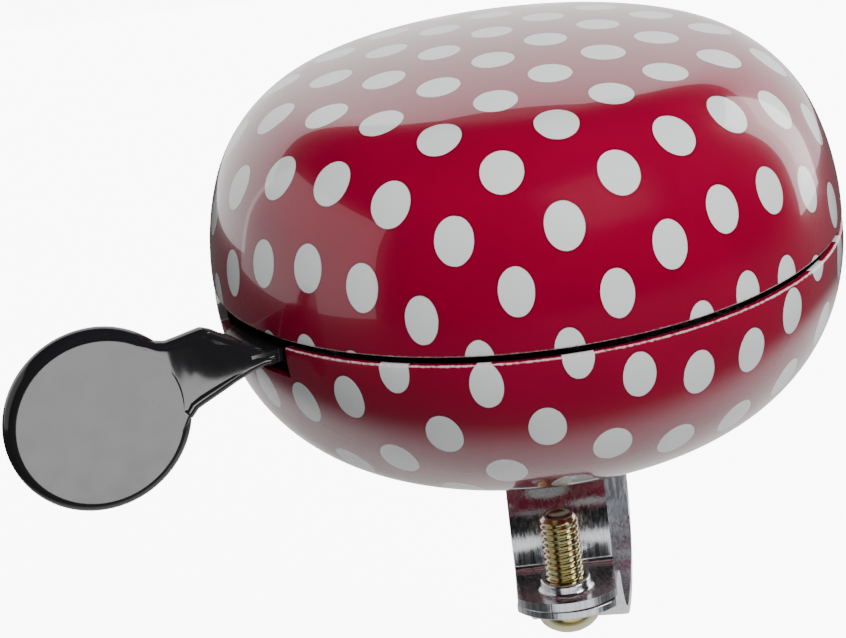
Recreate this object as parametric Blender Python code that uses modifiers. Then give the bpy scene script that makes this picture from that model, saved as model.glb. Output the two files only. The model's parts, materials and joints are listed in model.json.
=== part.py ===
"""Double-dome bicycle bell with a thumb lever, a geared striker and a handlebar clamp.

Every size below is in millimetres and is turned into metres where a mesh is made.
The origin is on the bell's axis where the clamp sits on the handlebar, +Z is up
and the handlebar runs along X.  The striking mechanism is laid out with its thumb
lever along -X under an empty, which turns it to the place it has on the bell.
"""
import math

import bmesh
import bpy
from mathutils import Matrix, Vector

MM = 0.001
WELD = 1e-6

# The domes: radius, sheet, and the height of the upper dome's edge above the handlebar
DOME_R = 40.0
SHEET = 1.0
SPLIT_Z = 29.4
RIM_GAP = 0.95
DOME_STEPS = 44
# Arcs from the middle out, as (radius, slope at the arc's end); the first radius follows from DOME_R
UPPER_FLAT = 0.0
UPPER_ARCS = ((None, 12.5), (14.0, 35.0), (18.8, 70.0), (34.5, 91.0))
LOWER_FLAT = 7.0
LOWER_ARCS = ((None, 17.6), (21.8, 68.5), (25.5, 91.5))

# The notch that the lever moves in, as angles from the lever's centre line
NOTCH_FRONT = 9.7
NOTCH_STEP = -4.5
NOTCH_BACK = -20.0
NOTCH_DEEP = 4.0
NOTCH_SHALLOW = 2.2

# Handlebar clamp
BAR_R = 11.1
BAND_T = 1.1
BAND_W = 12.6
SEAT_GAP = 0.05
LEG_Y = BAR_R + 0.2 + BAND_T / 2
FRONT_BEND = 9.5
REAR_BEND = 1.8
FLANGE_BEND = 1.4
FLANGE_TOP = -11.1
FLANGE_GAP = 0.1
FLANGE_CORNER_Y = -20.1
FLANGE_FRONT_Y = -23.1
BOLT_Y = -18.3
BOLT_R = 2.4
BOLT_TOP = -1.0
BOLT_HEAD_R = 3.95
BOLT_HEAD_H = 3.1
COLLAR_R = 3.15
COLLAR_H = 1.5
HOOK_Z = -7.0
REAR_W = 20.0
TONGUE_W = 7.0
STRAP_SKEW = -6.5

# Centre stack
STUD_R = 2.5
STUD_TOP = 51.5
SLEEVE_R = 4.5
PLATE_R = 31.0
PLATE_Z = 22.6
PLATE_T = 1.2
BUSH_R = 3.5
RUN = 0.1
GAP = 0.05

# Striking mechanism
MECHANISM_TURN = 32.0
PIVOT_X = -24.0
SECTOR_TEETH = 35
PINION_TEETH = 13
MODULE = 1.0
PRESSURE_ANGLE = 25.0
ADDENDUM = 0.8
DEDENDUM = 1.05
BACKLASH = 0.14
ROTOR_REST = 100.0
ROTOR_PIN_R = 17.0
HAMMER_LENGTH = 20.1
HAMMER_NOSE_R = 3.5
HAMMER_TRAIL = 55.0

# Thumb lever, outside the bell
WEB_X = -40.7
WEB_Y = -5.9
WEB_TURN = 168.0
PAD_R = 11.4
PAD_T = 3.0
PAD_ALONG = 21.7
PAD_DROP = -4.85
ARM_TOP = SPLIT_Z - 1.25
ARM_T = 1.65
WEB_T = 2.4

# Colours as (red, green, blue), roughness, metallic
FINISHES = {
    "crimson_paint": ((0.33, 0.002, 0.024), 0.12, 0.0),
    "black_plastic": ((0.012, 0.012, 0.013), 0.18, 0.0),
    "chrome": ((0.78, 0.79, 0.80), 0.08, 1.0),
    "gold_zinc": ((0.62, 0.50, 0.20), 0.28, 1.0),
    "zinc_steel": ((0.55, 0.56, 0.58), 0.35, 1.0),
    "spring_steel": ((0.42, 0.43, 0.45), 0.30, 1.0),
    "brass": ((0.70, 0.52, 0.22), 0.30, 1.0),
    "white_nylon": ((0.75, 0.74, 0.69), 0.45, 0.0),
    "black_rubber": ((0.02, 0.02, 0.02), 0.80, 0.0),
    "grey_fibre": ((0.20, 0.17, 0.14), 0.85, 0.0),
}


# ---------------------------------------------------------------- scene helpers

def clear_scene():
    for obj in list(bpy.data.objects):
        bpy.data.objects.remove(obj, do_unlink=True)


def make_collection(name):
    collection = bpy.data.collections.new(name)
    bpy.context.scene.collection.children.link(collection)
    return collection


clear_scene()
BELL = make_collection("bicycle_bell")
CUTTERS = make_collection("cutters")


def make_material(node_name, finish):
    colour, roughness, metallic = FINISHES[finish]
    material = bpy.data.materials.new(node_name)
    material.use_nodes = True
    shader = material.node_tree.nodes["Principled BSDF"]
    shader.inputs["Base Color"].default_value = (*colour, 1.0)
    shader.inputs["Roughness"].default_value = roughness
    shader.inputs["Metallic"].default_value = metallic
    return material


def add_object(name, mesh, collection):
    obj = bpy.data.objects.new(name, mesh)
    collection.objects.link(obj)
    return obj


def as_cutter(obj):
    """Move an object to the cutters, where it shows as wire and never renders."""
    for collection in list(obj.users_collection):
        collection.objects.unlink(obj)
    CUTTERS.objects.link(obj)
    obj.hide_render = True
    obj.display_type = "WIRE"
    return obj


def boolean(obj, other, operation):
    modifier = obj.modifiers.new(operation.lower(), "BOOLEAN")
    modifier.operation = operation
    modifier.solver = "EXACT"
    modifier.object = as_cutter(other)


def cut(obj, *cutters):
    for cutter in cutters:
        boolean(obj, cutter, "DIFFERENCE")


def join(obj, *others):
    for other in others:
        boolean(obj, other, "UNION")


def finish_node(obj, finish, smooth_angle=None):
    obj.data.materials.append(make_material(obj.name, finish))
    if smooth_angle is not None:
        obj.data.shade_smooth()
        obj.data.set_sharp_from_angle(angle=math.radians(smooth_angle))
    return obj


def hold(obj, parent):
    """Parent an object whose mesh is already laid out in the parent's own axes."""
    obj.parent = parent


def hold_new_cutters(others, parent):
    """Parent every cutter that was made after the others were listed."""
    for cutter in CUTTERS.objects:
        if cutter.name not in others:
            hold(cutter, parent)


def set_origin(obj, x, y, z):
    """Put an object's origin on its joint's axis and leave its shape where it is."""
    place = Vector((x, y, z)) * MM
    obj.data.transform(Matrix.Translation(-place))
    obj.location = place


# ---------------------------------------------------------------- shape helpers

def polar(radius, degrees, x=0.0, y=0.0):
    angle = math.radians(degrees)
    return (x + radius * math.cos(angle), y + radius * math.sin(angle))


def arc(radius, start, end, steps, x=0.0, y=0.0):
    return [polar(radius, start + (end - start) * i / steps, x, y) for i in range(steps + 1)]


def disc(radius, steps=32, x=0.0, y=0.0):
    return arc(radius, 0, 360, steps, x, y)[:-1]


def belt(x1, r1, x2, r2, steps=10):
    """The outline round two circles on the X axis, joined by their outer tangents."""
    lean = math.degrees(math.acos((r1 - r2) / (x2 - x1)))
    return arc(r2, -lean, lean, steps, x2) + arc(r1, lean, 360 - lean, steps * 2, x1)


def turned(points, turn, x=0.0, y=0.0):
    """Turn 2-D points about the origin and then move them."""
    c = math.cos(math.radians(turn))
    s = math.sin(math.radians(turn))
    return [(x + c * px - s * py, y + s * px + c * py) for px, py in points]


def lathe(name, outline, steps=32, collection=BELL):
    """A turned solid: (radius, height) points from top to bottom on the outside."""
    closed = outline[0][0] > 0 or outline[-1][0] > 0
    mesh = bpy.data.meshes.new(name)
    shape = bmesh.new()
    verts = [shape.verts.new((r * MM, 0, z * MM)) for r, z in outline]
    for first, second in zip(verts, verts[1:]):
        shape.edges.new((first, second))
    if closed:
        shape.edges.new((verts[-1], verts[0]))
    shape.to_mesh(mesh)
    shape.free()
    obj = add_object(name, mesh, collection)
    screw = obj.modifiers.new("turn", "SCREW")
    screw.axis = "Z"
    screw.angle = math.tau
    screw.steps = steps
    screw.render_steps = steps
    screw.use_merge_vertices = True
    screw.merge_threshold = WELD
    return obj


def slab(name, outlines, thickness, matrix, collection=BELL):
    """A flat outline, with any holes, given thickness and converted to a mesh."""
    curve = bpy.data.curves.new(name, "CURVE")
    curve.dimensions = "2D"
    curve.fill_mode = "BOTH"
    curve.extrude = thickness / 2 * MM
    for outline in outlines:
        spline = curve.splines.new("POLY")
        spline.points.add(len(outline) - 1)
        for point, (x, y) in zip(spline.points, outline):
            point.co = (x * MM, y * MM, 0, 1)
        spline.use_cyclic_u = True
    source = add_object(name + "_outline", curve, collection)
    mesh = bpy.data.meshes.new_from_object(source)
    bpy.data.objects.remove(source, do_unlink=True)
    shape = bmesh.new()
    shape.from_mesh(mesh)
    bmesh.ops.remove_doubles(shape, verts=shape.verts, dist=WELD)
    bmesh.ops.recalc_face_normals(shape, faces=shape.faces)
    shape.to_mesh(mesh)
    shape.free()
    mesh.transform(matrix)
    mesh.name = name
    return add_object(name, mesh, collection)


def plate(name, outlines, z0, z1, collection=BELL):
    """A slab that lies flat between two heights."""
    middle = Matrix.Translation((0, 0, (z0 + z1) / 2 * MM))
    return slab(name, outlines, z1 - z0, middle, collection)


def side_slab(name, outline, width, collection=BELL):
    """A slab drawn in (Y, Z) and given its width along X."""
    stand = Matrix(((0, 0, 1, 0), (1, 0, 0, 0), (0, 1, 0, 0), (0, 0, 0, 1)))
    return slab(name, [outline], width, stand, collection)


def block(name, low, high, collection=BELL):
    """A box between two corners."""
    low = Vector(low) * MM
    high = Vector(high) * MM
    mesh = bpy.data.meshes.new(name)
    shape = bmesh.new()
    bmesh.ops.create_cube(shape, size=1.0)
    bmesh.ops.scale(shape, vec=high - low, verts=shape.verts)
    bmesh.ops.translate(shape, vec=(high + low) / 2, verts=shape.verts)
    shape.to_mesh(mesh)
    shape.free()
    return add_object(name, mesh, collection)


def rod(name, radius, z0, z1, x=0.0, y=0.0, steps=32, collection=BELL):
    """A cylinder that stands between two heights."""
    mesh = bpy.data.meshes.new(name)
    shape = bmesh.new()
    middle = Matrix.Translation((x * MM, y * MM, (z0 + z1) / 2 * MM))
    bmesh.ops.create_cone(
        shape, cap_ends=True, segments=steps, radius1=radius * MM, radius2=radius * MM,
        depth=(z1 - z0) * MM, matrix=middle,
    )
    shape.to_mesh(mesh)
    shape.free()
    return add_object(name, mesh, collection)


def ring(name, outer, inner, z0, z1, finish, steps=32):
    """A washer or a sleeve on the bell's axis."""
    outline = [(outer, z1), (outer, z0), (inner, z0), (inner, z1)]
    return finish_node(lathe(name, outline, steps), finish, 30)


def hex_nut(name, across_flats, bore, z0, z1, finish):
    corners = disc(across_flats / math.sqrt(3), 6)
    nut = plate(name, [corners, disc(bore, 24)], z0, z1)
    return finish_node(nut, finish)


def hull(name, points, collection=BELL):
    """The convex block round a few corners."""
    mesh = bpy.data.meshes.new(name)
    shape = bmesh.new()
    for point in points:
        shape.verts.new(Vector(point) * MM)
    bmesh.ops.convex_hull(shape, input=shape.verts)
    shape.to_mesh(mesh)
    shape.free()
    return add_object(name, mesh, collection)


def rounded_path(corners):
    """Points along a line through (y, z, bend radius) corners, each bend as an arc."""
    path = [Vector(corners[0][:2])]
    for before, corner, after in zip(corners, corners[1:], corners[2:]):
        here = Vector(corner[:2])
        back = (Vector(before[:2]) - here).normalized()
        ahead = (Vector(after[:2]) - here).normalized()
        half = back.angle(ahead) / 2
        centre = here + (back + ahead).normalized() * corner[2] / math.sin(half)
        start = here + back * corner[2] / math.tan(half) - centre
        end = here + ahead * corner[2] / math.tan(half) - centre
        sweep = start.angle_signed(end)
        steps = max(6, round(corner[2]))
        for i in range(steps + 1):
            turn = Matrix.Rotation(-sweep * i / steps, 2)
            path.append(centre + turn @ start)
    path.append(Vector(corners[-1][:2]))
    return path


def band_outline(path, thickness):
    """The outline of a strip of metal that follows a path."""
    left = []
    right = []
    for i, point in enumerate(path):
        ahead = path[min(i + 1, len(path) - 1)] - path[max(i - 1, 0)]
        side = Vector((-ahead.y, ahead.x)).normalized() * thickness / 2
        left.append(tuple(point + side))
        right.append(tuple(point - side))
    return left + right[::-1]


def closing_radius(flat, arcs):
    """The radius of the first arc that makes the last one end at the dome's radius."""
    reach = DOME_R - flat
    slope = arcs[0][1]
    for radius, end in arcs[1:]:
        reach -= radius * (math.sin(math.radians(end)) - math.sin(math.radians(slope)))
        slope = end
    return reach / math.sin(math.radians(arcs[0][1]))


def dome_profile(flat, arcs, inset, steps=(5, 2, 4, 4)):
    """(radius, drop) points of a dome from its middle to its rim, moved in by the inset."""
    radii = [closing_radius(flat, arcs)] + [radius for radius, _ in arcs[1:]]
    points = [(0.0, inset)]
    if flat:
        points.append((flat, inset))
    x = flat
    drop = 0.0
    slope = 0.0
    for radius, (_, end), count in zip(radii, arcs, steps[-len(arcs):]):
        centre_x = x - radius * math.sin(math.radians(slope))
        centre_drop = drop + radius * math.cos(math.radians(slope))
        for i in range(1, count + 1):
            angle = math.radians(slope + (end - slope) * i / count)
            inner = radius - inset
            points.append((centre_x + inner * math.sin(angle), centre_drop - inner * math.cos(angle)))
        x = centre_x + radius * math.sin(math.radians(end))
        drop = centre_drop - radius * math.cos(math.radians(end))
        slope = end
    return points, drop


def dome_shell(name, flat, arcs, upward):
    """A dome of even sheet; upward is 1 for the upper dome and -1 for the lower."""
    outside, height = dome_profile(flat, arcs, 0.0)
    inside, _ = dome_profile(flat, arcs, SHEET)
    rim = SPLIT_Z if upward > 0 else SPLIT_Z - RIM_GAP
    if upward > 0:
        outline = [(r, rim + height - drop) for r, drop in outside]
        outline += [(r, max(rim, rim + height - drop)) for r, drop in inside[::-1]]
    else:
        outline = [(r, min(rim, rim - height + drop)) for r, drop in inside]
        outline += [(r, rim - height + drop) for r, drop in outside[::-1]]
    return lathe(name, outline, DOME_STEPS), height


# ---------------------------------------------------------------- domes and centre stack

def build_upper_dome():
    dome, height = dome_shell("upper_dome", UPPER_FLAT, UPPER_ARCS, 1)
    finish_node(dome, "crimson_paint", 40)
    crown = SPLIT_Z + height - SHEET
    boss = [
        (0, crown - 0.4), (6.0, crown - 0.4), (6.0, crown - 1.4), (4.6, crown - 1.8),
        (4.6, crown - 8.3), (STUD_R + GAP, crown - 8.3), (STUD_R + GAP, crown - 2.8), (0, crown - 2.8),
    ]
    finish_node(lathe("dome_boss", boss, 24), "zinc_steel", 30)
    base = crown - 8.3 - GAP
    ring("dome_lock_washer", 5.0, STUD_R + RUN, base - 0.6, base, "zinc_steel", 24)
    hex_nut("dome_lock_nut", 8.0, STUD_R + GAP, base - 3.85, base - 0.65, "zinc_steel")


def notch_cutter(name, start, end, depth):
    rim = SPLIT_Z - RIM_GAP
    outline = arc(DOME_R + 4, 180 + start, 180 + end, 8) + arc(DOME_R - 6, 180 + end, 180 + start, 8)
    outline = turned(outline, MECHANISM_TURN)
    return plate(name, [outline], rim - depth, rim + 2, CUTTERS)


def build_lower_dome():
    dome, height = dome_shell("lower_dome", LOWER_FLAT, LOWER_ARCS, -1)
    cut(dome, notch_cutter("notch_deep", NOTCH_FRONT, NOTCH_STEP - 0.5, NOTCH_DEEP))
    cut(dome, notch_cutter("notch_shallow", NOTCH_STEP, NOTCH_BACK, NOTCH_SHALLOW))
    base = SPLIT_Z - RIM_GAP - height
    cut(dome, rod("dome_bore", STUD_R + RUN, base - 2, base + 4, steps=24, collection=CUTTERS))
    finish_node(dome, "crimson_paint", 40)
    ring("outer_seat_washer", 6.6, STUD_R + RUN, BAND_T + GAP, base - GAP, "grey_fibre", 24)
    inner = base + SHEET + GAP
    ring("inner_seat_washer", 6.6, STUD_R + RUN, inner, inner + 0.8, "grey_fibre", 24)
    return inner + 0.8


def build_centre_stack(seat_z):
    stud = [
        (0, STUD_TOP), (STUD_R - 0.5, STUD_TOP), (STUD_R, STUD_TOP - 0.6),
        (STUD_R, 0.0), (0, 0.0),
    ]
    finish_node(lathe("centre_stud", stud, 24), "zinc_steel", 30)
    ring("spacer_sleeve", SLEEVE_R, STUD_R + RUN, seat_z + GAP, PLATE_Z - GAP, "zinc_steel", 24)
    top = PLATE_Z + PLATE_T
    bush = [
        (BUSH_R, top + 5.75), (BUSH_R, top + 0.8), (5.0, top + 0.8), (5.0, top + GAP),
        (STUD_R + RUN, top + GAP), (STUD_R + RUN, top + 5.75),
    ]
    finish_node(lathe("bearing_bush", bush, 24), "brass", 30)
    ring("rotor_washer", 5.2, STUD_R + RUN, top + 5.8, top + 6.2, "zinc_steel", 24)
    hex_nut("bush_nut", 8.0, STUD_R + GAP, top + 6.25, top + 8.75, "zinc_steel")


# ---------------------------------------------------------------- mechanism

def gear_half_angle(radius, teeth):
    """Half of a tooth's angle at a radius, on an involute flank with backlash."""
    pitch_r = MODULE * teeth / 2
    base_r = pitch_r * math.cos(math.radians(PRESSURE_ANGLE))
    pitch_half = (math.pi * MODULE / 2 - BACKLASH) / 2 / pitch_r
    at_pitch = math.radians(PRESSURE_ANGLE)
    here = math.acos(min(1.0, base_r / max(radius, base_r)))
    return pitch_half + (math.tan(at_pitch) - at_pitch) - (math.tan(here) - here)


def tooth(teeth, centre, steps=3):
    """Points round one tooth, as (radius, angle in degrees), root to root."""
    pitch_r = MODULE * teeth / 2
    root = pitch_r - DEDENDUM
    tip = pitch_r + ADDENDUM
    flank = [root + (tip - root) * i / steps for i in range(steps + 1)]
    near = [(r, centre - math.degrees(gear_half_angle(r, teeth))) for r in flank]
    far = [(r, centre + math.degrees(gear_half_angle(r, teeth))) for r in flank[::-1]]
    return near + far


def build_base_plate(carrier):
    top = PLATE_Z + PLATE_T
    windows = [turned(belt(-6, 4, 6, 4), angle, *polar(19, angle - 90)) for angle in (0, 60, 120, 180)]
    holes = [disc(STUD_R + RUN, 24), disc(1.85, 16, PIVOT_X)] + windows
    base = plate("base_plate", [disc(PLATE_R, 48)] + holes, PLATE_Z, top)
    stop_tab = block("stop_tab", (-29.0, -7.95, top - 0.4), (-26.0, -6.85, top + 4.9))
    anchor_tab = block("anchor_tab", (-27.0, 8.2, top - 0.4), (-25.4, 9.3, top + 7.4))
    join(base, stop_tab, anchor_tab)
    hold(finish_node(base, "zinc_steel", 30), carrier)
    sleeve = block("stop_bumper", (-29.7, -8.7, top + GAP), (-25.3, -5.9, top + 4.6))
    cut(sleeve, block("bumper_slot", (-29.1, -8.05, top - 1), (-25.9, -6.75, top + 6)))
    hold(finish_node(sleeve, "black_rubber"), carrier)
    pin = [
        (0, top + 7.3), (1.6, top + 7.3), (2.0, top + 6.9), (2.0, top + 6.85), (1.5, top + 6.8),
        (1.5, top + 6.3), (2.0, top + 6.25), (2.0, top + GAP), (1.8, top), (1.8, PLATE_Z - 0.05),
        (2.6, PLATE_Z - 0.1), (2.2, PLATE_Z - 0.7), (0, PLATE_Z - 0.8),
    ]
    pivot = lathe("lever_pivot_pin", pin, 24)
    pivot.location = (PIVOT_X * MM, 0, 0)
    hold(finish_node(pivot, "zinc_steel", 30), carrier)
    jaw = arc(2.9, 35, 325, 20) + arc(1.56, 325, 35, 16)
    clip = plate("pivot_clip", [turned(jaw, 180, PIVOT_X)], top + 6.35, top + 6.75)
    hold(finish_node(clip, "spring_steel"), carrier)


def build_return_spring(carrier):
    """A torsion coil round the lever's hub with one leg to each side."""
    wire = 0.35
    radius = 3.5
    pitch = 0.74
    low = PLATE_Z + PLATE_T + 4.85
    turns = 2.75
    curve = bpy.data.curves.new("return_spring", "CURVE")
    curve.dimensions = "3D"
    curve.bevel_depth = wire * MM
    curve.bevel_resolution = 2
    curve.use_fill_caps = True
    coil = []
    steps = 44
    for i in range(steps + 1):
        angle = 90 - 360 * turns * i / steps
        coil.append((*polar(radius, angle, PIVOT_X), low + pitch * turns * i / steps))
    leg_start = [(-32.0, 3.3, low)]
    leg_end = [(PIVOT_X - radius, 9.6, coil[-1][2])]
    points = leg_start + coil + leg_end
    spline = curve.splines.new("POLY")
    spline.points.add(len(points) - 1)
    for point, place in zip(spline.points, points):
        point.co = (*(value * MM for value in place), 1)
    spring = add_object("return_spring", curve, BELL)
    spring.data.materials.append(make_material("return_spring", "spring_steel"))
    hold(spring, carrier)


def sector_outline():
    pitch_angle = 360 / SECTOR_TEETH
    root = MODULE * SECTOR_TEETH / 2 - DEDENDUM
    points = [(3.0, -60), (root, -pitch_angle * 1.5)]
    for k in range(-1, 5):
        points += tooth(SECTOR_TEETH, k * pitch_angle)
    points += [(root, pitch_angle * 4.5), (3.0, 100)]
    return [polar(r, angle, PIVOT_X) for r, angle in points]


def lever_side(along, height, back):
    """A point of the web: distance out along it, height above the split, depth behind its face."""
    x, y = turned([(along, -back)], WEB_TURN, WEB_X, WEB_Y)[0]
    return (x, y, SPLIT_Z + height)


def lever_panel(name, outline, thickness):
    """A slab in the web's upright plane, from (distance out, height above the split) points."""
    face_x, face_y, face_z = lever_side(0, 0, thickness / 2)
    stand = Matrix.Translation(Vector((face_x, face_y, face_z)) * MM)
    stand @= Matrix.Rotation(math.radians(WEB_TURN), 4, "Z")
    stand @= Matrix.Rotation(math.radians(90), 4, "X")
    return slab(name, [outline], thickness, stand)


def build_lever(carrier):
    bottom = PLATE_Z + PLATE_T + RUN
    hub = rod("thumb_lever", 5.4, bottom, ARM_TOP - 0.45, PIVOT_X)
    boss = rod("lever_boss", 2.9, ARM_TOP - 1.5, bottom + 6.2, PIVOT_X, steps=24)
    arm_low = ARM_TOP - ARM_T
    back = [(-30.0, 5.0), (-38.3, 6.2), (-40.6, 5.3), (-42.6, 3.2), (-46.0, -2.0)]
    front = [(-45.0, -4.9), (-40.7, -5.75), (-30.0, -5.2), (-24.0, -5.2)]
    arm = plate("lever_arm", [[(-24.0, 5.0)] + back + front], arm_low, ARM_TOP)
    sector = plate("lever_sector", [sector_outline()], bottom + 1.0, bottom + 3.6)
    lug = block("lever_lug", (-32.4, 1.2, ARM_TOP - 0.4), (-30.8, 2.8, ARM_TOP + 1.4))
    web = lever_panel(
        "lever_web",
        [(0.2, -1.4), (7.6, 3.6), (14.7, 3.2), (20.0, 4.5), (20.0, -11.0), (10.4, -6.4), (1.0, -2.85)],
        WEB_T,
    )
    pad = lever_panel("lever_pad", disc(PAD_R, 40, PAD_ALONG, PAD_DROP), PAD_T)
    ramp_top = [(-41.3, -5.6), (-42.6, 3.2), (-41.4, 4.4)]
    crest = [lever_side(7.6, 3.6, 0.1), lever_side(7.6, 3.6, 2.3)]
    foot = [lever_side(8.2, -3.2, 0.1), lever_side(8.2, -3.2, 2.3)]
    low = [(x, y, arm_low + 0.1) for x, y in ramp_top]
    high = [(x, y, ARM_TOP - 0.1) for x, y in ramp_top]
    ramp = hull("lever_ramp", high + low + crest + foot)
    join(hub, arm, boss, sector, lug, ramp, web, pad)
    cut(hub, rod("lever_bore", 2.06, bottom - 2, bottom + 9, PIVOT_X, steps=24, collection=CUTTERS))
    finish_node(hub, "black_plastic", 30)
    set_origin(hub, PIVOT_X, 0, 0)
    hold(hub, carrier)


def pinion_outline():
    pitch_angle = 360 / PINION_TEETH
    points = []
    for k in range(PINION_TEETH):
        points += tooth(PINION_TEETH, 180 + (k + 0.5) * pitch_angle)
    return [polar(r, angle) for r, angle in points]


def build_rotor(carrier):
    top = PLATE_Z + PLATE_T
    pinion = plate("rotor_pinion", [pinion_outline()], top + 0.95, top + 4.1)
    collar = rod("pinion_collar", 4.6, top + 3.6, top + 5.55, steps=24)
    join(pinion, collar)
    bore = rod("pinion_bore", BUSH_R + RUN, top - 1, top + 8, steps=32, collection=CUTTERS)
    cut(pinion, bore)
    hold(finish_node(pinion, "white_nylon", 30), carrier)
    low = top + 4.3
    high = top + 5.4
    arm = plate("rotor_arm", [turned(belt(-ROTOR_PIN_R, 3.0, ROTOR_PIN_R, 3.0), ROTOR_REST)], low, high)
    join(arm, rod("arm_eye", 6.8, low, high, steps=32))
    holes = [rod("arm_bore", 4.65, low - 1, high + 1, steps=24, collection=CUTTERS)]
    for name, angle in (("upper_rivet_hole", ROTOR_REST), ("lower_rivet_hole", ROTOR_REST + 180)):
        x, y = polar(ROTOR_PIN_R, angle)
        holes.append(rod(name, 1.3, low - 1, high + 1, x, y, 16, CUTTERS))
    cut(arm, *holes)
    hold(finish_node(arm, "zinc_steel", 30), carrier)
    return low, high


def build_hammer(carrier, prefix, angle, z0, z1, pin_outline):
    """A striker that hangs on its own pin and trails behind the rotor arm."""
    x, y = polar(ROTOR_PIN_R, angle)
    pin = lathe(prefix + "_hammer_pin", pin_outline, 20)
    pin.location = (x * MM, y * MM, 0)
    hold(finish_node(pin, "zinc_steel", 30), carrier)
    outline = turned(belt(0, 2.9, HAMMER_LENGTH, HAMMER_NOSE_R), angle - HAMMER_TRAIL)
    hammer = plate(prefix + "_hammer", [outline, disc(1.6, 20)], z0, z1)
    hammer.location = (x * MM, y * MM, 0)
    hold(finish_node(hammer, "zinc_steel", 30), carrier)


def build_hammers(carrier, arm_low, arm_high):
    base = arm_high + 2.2
    upper_pin = [
        (0, base + 5.4), (2.0, base + 5.4), (2.5, base + 5.1), (2.5, base + 4.55), (1.5, base + 4.5),
        (1.5, base - 0.15), (2.5, base - 0.15), (2.5, arm_high + GAP), (1.25, arm_high),
        (1.25, arm_low - GAP), (1.9, arm_low - 0.1), (1.7, arm_low - 0.35), (0, arm_low - 0.4),
    ]
    build_hammer(carrier, "upper", ROTOR_REST, base, base + 4.4, upper_pin)
    low = arm_low - 3.1
    lower_pin = [
        (0, arm_high + 0.7), (1.7, arm_high + 0.7), (2.1, arm_high + 0.1), (1.25, arm_high + GAP),
        (1.25, arm_low), (2.4, arm_low - GAP), (2.4, arm_low - 0.15), (1.5, arm_low - 0.2),
        (1.5, low - 0.1), (2.3, low - 0.15), (2.3, low - 0.6), (2.0, low - 0.75), (0, low - 0.75),
    ]
    build_hammer(carrier, "lower", ROTOR_REST + 180, low, arm_low - 0.25, lower_pin)


# ---------------------------------------------------------------- clamp

def flange_tip(name, z0, z1):
    """What is left outside the flange's bowed front edge."""
    half = BAND_W / 2
    bow = FLANGE_CORNER_Y - FLANGE_FRONT_Y
    radius = (half * half + bow * bow) / 2 / bow
    centre_y = FLANGE_FRONT_Y + radius
    lean = math.degrees(math.asin(half / radius))
    bowed = arc(radius, 270 + lean, 270 - lean, 12, 0, centre_y)
    outline = [(-half - 1, FLANGE_CORNER_Y), (-half - 1, FLANGE_FRONT_Y - 2)]
    outline += [(half + 1, FLANGE_FRONT_Y - 2), (half + 1, FLANGE_CORNER_Y)] + bowed
    return plate(name, [outline], z0, z1, CUTTERS)


def build_bracket():
    mid = FLANGE_TOP - BAND_T / 2
    corners = [
        (LEG_Y, HOOK_Z - 3.0, 0), (LEG_Y, BAND_T / 2, REAR_BEND), (-LEG_Y, BAND_T / 2, FRONT_BEND),
        (-LEG_Y, mid, FLANGE_BEND), (FLANGE_FRONT_Y, mid, 0),
    ]
    bracket = side_slab("clamp_bracket", band_outline(rounded_path(corners), BAND_T), BAND_W)
    wing = block(
        "bracket_wing",
        (-REAR_W / 2, LEG_Y - BAND_T / 2, HOOK_Z - 3.0), (REAR_W / 2, LEG_Y + BAND_T / 2, -1.9),
    )
    collar = rod("bracket_collar", COLLAR_R, mid, FLANGE_TOP + COLLAR_H, 0, BOLT_Y, 32)
    join(bracket, wing, collar)
    low = HOOK_Z - 1.35
    high = HOOK_Z + 1.35
    cut(
        bracket,
        flange_tip("bracket_tip", mid - 3, mid + 3),
        rod("bracket_thread", BOLT_R + GAP, mid - 5, mid + 9, 0, BOLT_Y, 32, CUTTERS),
        rod("bracket_stud_hole", STUD_R + GAP, -2, 4, steps=24, collection=CUTTERS),
        block("hook_window", (-4.5, LEG_Y - 3, low), (8.5, LEG_Y + 3, high), CUTTERS),
    )
    finish_node(bracket, "chrome", 30)


def build_strap(hanger):
    """The lower band, drawn straight and then skewed about the bolt by its hanger."""
    others = list(CUTTERS.objects.keys())
    mid = FLANGE_TOP - BAND_T * 1.5 - FLANGE_GAP
    radius = BAR_R + GAP + BAND_T / 2
    rear_y = LEG_Y + BAND_T + 0.9
    shift = rear_y - radius
    start = math.degrees(math.asin((mid + BAR_R) / radius))
    sweep = arc(radius, 180 - start + 8, 270, 14, 0, -BAR_R)
    sweep += arc(radius, 270, 360, 14, shift, -BAR_R)
    bend = [(FLANGE_FRONT_Y, mid, 0), (-radius - 0.3, mid, 1.0), (*sweep[1], 0)]
    hook = [(*sweep[-1], 0), (rear_y, HOOK_Z, 1.2), (BAR_R - 0.1, HOOK_Z, 0)]
    path = rounded_path(bend)[:-1] + [Vector(point) for point in sweep[1:]] + rounded_path(hook)[1:]
    strap = side_slab("clamp_strap", band_outline(path, BAND_T), BAND_W)
    side = TONGUE_W / 2
    neck = HOOK_Z - 3.2
    cut(
        strap,
        flange_tip("strap_tip", mid - 3, mid + 3),
        block("tongue_left", (-BAND_W, BAR_R - 3, neck), (-side, rear_y + 3, HOOK_Z + 3), CUTTERS),
        block("tongue_right", (side, BAR_R - 3, neck), (BAND_W, rear_y + 3, HOOK_Z + 3), CUTTERS),
        plate(
            "strap_slot",
            [turned(belt(0, BOLT_R + 0.3, 0.9, BOLT_R + 0.3), -90, 0, BOLT_Y)],
            mid - 3, mid + 3, CUTTERS,
        ),
    )
    finish_node(strap, "chrome", 30)
    hold(strap, hanger)
    hold_new_cutters(others, hanger)
    set_origin(strap, 0, LEG_Y, HOOK_Z)


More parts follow.
